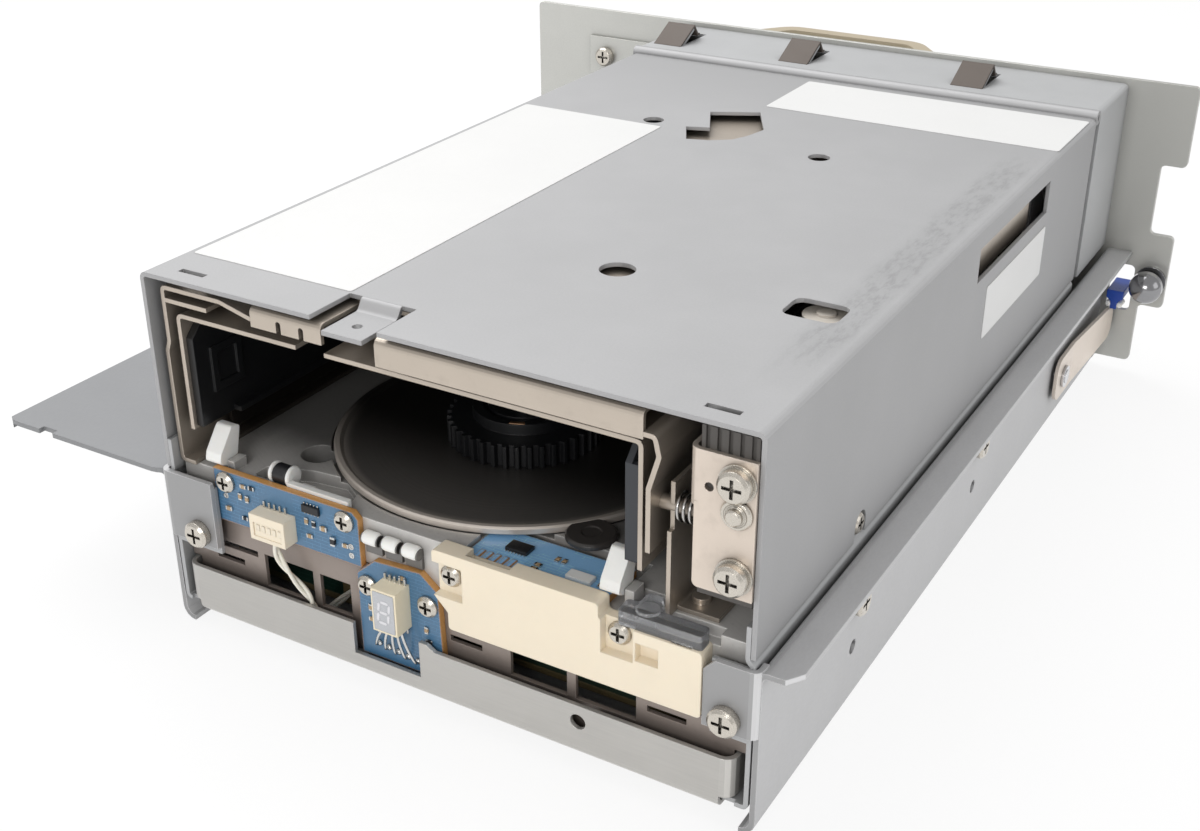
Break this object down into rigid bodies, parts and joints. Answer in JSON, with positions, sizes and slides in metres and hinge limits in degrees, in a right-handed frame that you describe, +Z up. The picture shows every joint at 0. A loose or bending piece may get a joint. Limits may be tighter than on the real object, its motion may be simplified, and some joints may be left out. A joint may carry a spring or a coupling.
{
  "type": "tape library drive",
  "caption": "Full-height linear tape drive for a library, with its cartridge loader, reels, head and threader, on a sheet-metal sled with a wide back plate.",
  "frame": {"origin": "centre of the underside of the sled, between its side walls and midway along its depth", "axes": "+Z up, +Y from the front with the cartridge mouth to the back plate, +X to the right side as seen from the front"},
  "size_m": [0.224, 0.2792, 0.0942],
  "materials": {
    "cover_steel": "zinc-coated sheet steel, satin",
    "sled_steel": "zinc-coated sheet steel, bright",
    "plate_steel": "plated sheet steel, satin",
    "lip_steel": "plated sheet steel, fine brushed",
    "latch_steel": "light plated lever",
    "loader_steel": "nickel-plated sheet steel with a warm tint",
    "cast_aluminium": "fine cast, matt",
    "nickel": "nickel plated",
    "screw_nickel": "nickel plated with a faint gold tint",
    "motor_steel": "turned steel",
    "brass": "turned brass",
    "dark_disc": "dark anodised disc",
    "black_plastic": "moulded, matt",
    "grey_plastic": "moulded, satin",
    "roller_white": "white moulding",
    "cream_plastic": "cream moulding, satin",
    "handle_plastic": "beige moulding, fine texture",
    "blue_plastic": "blue moulding",
    "clear_plastic": "clear moulding",
    "circuit_board": "blue-green lacquered board",
    "main_circuit": "green lacquered board",
    "cable_sleeve": "soft sleeve"
  },
  "bodies": {
    "drive": {"sled_tray": "sled_steel", "left_wing": "sled_steel", "front_lip": "lip_steel", "back_plate": "plate_steel", "plate_bracket": "plate_steel", "guide_pin": "nickel", "rivets": "nickel", "rear_hood": "cover_steel", "rear_handle": "handle_plastic", "port_block": "black_plastic", "fan_housing": "black_plastic", "base_frame": "cover_steel", "top_cover": "cover_steel", "front_plate": "loader_steel", "deck_casting": "cast_aluminium", "reel_motors": "motor_steel", "guide_posts": "nickel", "head_base": "cast_aluminium", "threader_plate": "loader_steel", "loader_top": "loader_steel", "loader_left_wall": "loader_steel", "loader_right_wall": "loader_steel", "loader_motor": "motor_steel", "guide_block": "grey_plastic", "screw_bracket": "loader_steel", "side_bracket": "loader_steel", "pressure_spring": "nickel", "front_bracket": "cream_plastic", "light_guide": "clear_plastic", "memory_board": "circuit_board", "sensor_board": "circuit_board", "board_connector": "cream_plastic", "sensor_cable": "cable_sleeve", "display_board": "circuit_board", "digit_block": "cream_plastic", "contact_fingers": "nickel", "main_board": "main_circuit", "large_screws": "screw_nickel", "small_screws": "screw_nickel"},
    "latch": {"latch_lever": "latch_steel", "latch_tab": "blue_plastic"},
    "fan": {"fan_rotor": "black_plastic"},
    "chuck": {"reel_disc": "dark_disc", "chuck_ring": "black_plastic", "reel_rotor": "motor_steel"},
    "takeup": {"takeup_reel": "black_plastic"},
    "roller_one": {"roller_1": "roller_white"},
    "roller_two": {"roller_2": "roller_white"},
    "roller_three": {"roller_3": "roller_white"},
    "roller_four": {"roller_4": "roller_white"},
    "head": {"head_block": "motor_steel"},
    "arm": {"threader_arm": "nickel"},
    "slide": {"loader_slide": "loader_steel"},
    "cage": {"cartridge_cage": "loader_steel", "left_guide": "grey_plastic", "right_guide": "grey_plastic"},
    "gear": {"loader_gear": "roller_white"},
    "pinion": {"motor_pinion": "brass"},
    "left_stop": {"left_lever": "roller_white"},
    "right_stop": {"right_lever": "roller_white"}
  },
  "joints": [
    {"name": "loader_travel", "type": "slide", "parent": "drive", "child": "slide", "axis": [0, 1, 0], "range_m": [0, 0.022]},
    {"name": "cage_lift", "type": "slide", "parent": "slide", "child": "cage", "axis": [0, 0, 1], "range_m": [-0.006, 0]},
    {"name": "gear_turn", "type": "hinge", "parent": "drive", "child": "gear", "pos_m": [0.059, -0.066, 0.0645], "axis": [0, 0, 1], "range_deg": [-150, 2]},
    {"name": "pinion_turn", "type": "hinge", "parent": "drive", "child": "pinion", "pos_m": [0.0645, -0.05367, 0.0645], "axis": [0, 0, 1], "range_deg": [-3, 255]},
    {"name": "chuck_spin", "type": "hinge", "parent": "drive", "child": "chuck", "pos_m": [-0.0103, -0.073, 0.0435], "axis": [0, 0, 1], "continuous": true},
    {"name": "takeup_spin", "type": "hinge", "parent": "drive", "child": "takeup", "pos_m": [-0.024, 0.0395, 0.0585], "axis": [0, 0, 1], "continuous": true},
    {"name": "roller_one_spin", "type": "hinge", "parent": "drive", "child": "roller_one", "pos_m": [0.03771, 0.00022, 0.0585], "axis": [0, 0, 1], "continuous": true},
    {"name": "roller_two_spin", "type": "hinge", "parent": "drive", "child": "roller_two", "pos_m": [0.04688, 0.01261, 0.0585], "axis": [0, 0, 1], "continuous": true},
    {"name": "roller_three_spin", "type": "hinge", "parent": "drive", "child": "roller_three", "pos_m": [0.04688, 0.03839, 0.0585], "axis": [0, 0, 1], "continuous": true},
    {"name": "roller_four_spin", "type": "hinge", "parent": "drive", "child": "roller_four", "pos_m": [0.03543, 0.05253, 0.0585], "axis": [0, 0, 1], "continuous": true},
    {"name": "head_lift", "type": "slide", "parent": "drive", "child": "head", "axis": [0, 0, 1], "range_m": [-0.003, 0.003]},
    {"name": "threader_turn", "type": "hinge", "parent": "drive", "child": "arm", "pos_m": [0.0165, 0.0255, 0.0815], "axis": [0, 0, 1], "range_deg": [0, 223.43]},
    {"name": "left_stop_turn", "type": "hinge", "parent": "drive", "child": "left_stop", "pos_m": [-0.061, -0.1185, 0.0439], "axis": [1, 0, 0], "range_deg": [-25, 0]},
    {"name": "right_stop_turn", "type": "hinge", "parent": "drive", "child": "right_stop", "pos_m": [0.0408, -0.1185, 0.0439], "axis": [1, 0, 0], "range_deg": [-25, 0]},
    {"name": "latch_turn", "type": "hinge", "parent": "drive", "child": "latch", "pos_m": [0.0761, 0.0785, 0.0155], "axis": [1, 0, 0], "range_deg": [0, 6]},
    {"name": "fan_spin", "type": "hinge", "parent": "drive", "child": "fan", "pos_m": [0.032, 0.1185, 0.0545], "axis": [0, 1, 0], "continuous": true}
  ],
  "couplings": [
    {"joint": "gear_turn", "follows": "loader_travel", "rad_per_m": -117.65},
    {"joint": "pinion_turn", "follows": "loader_travel", "rad_per_m": 200}
  ]
}
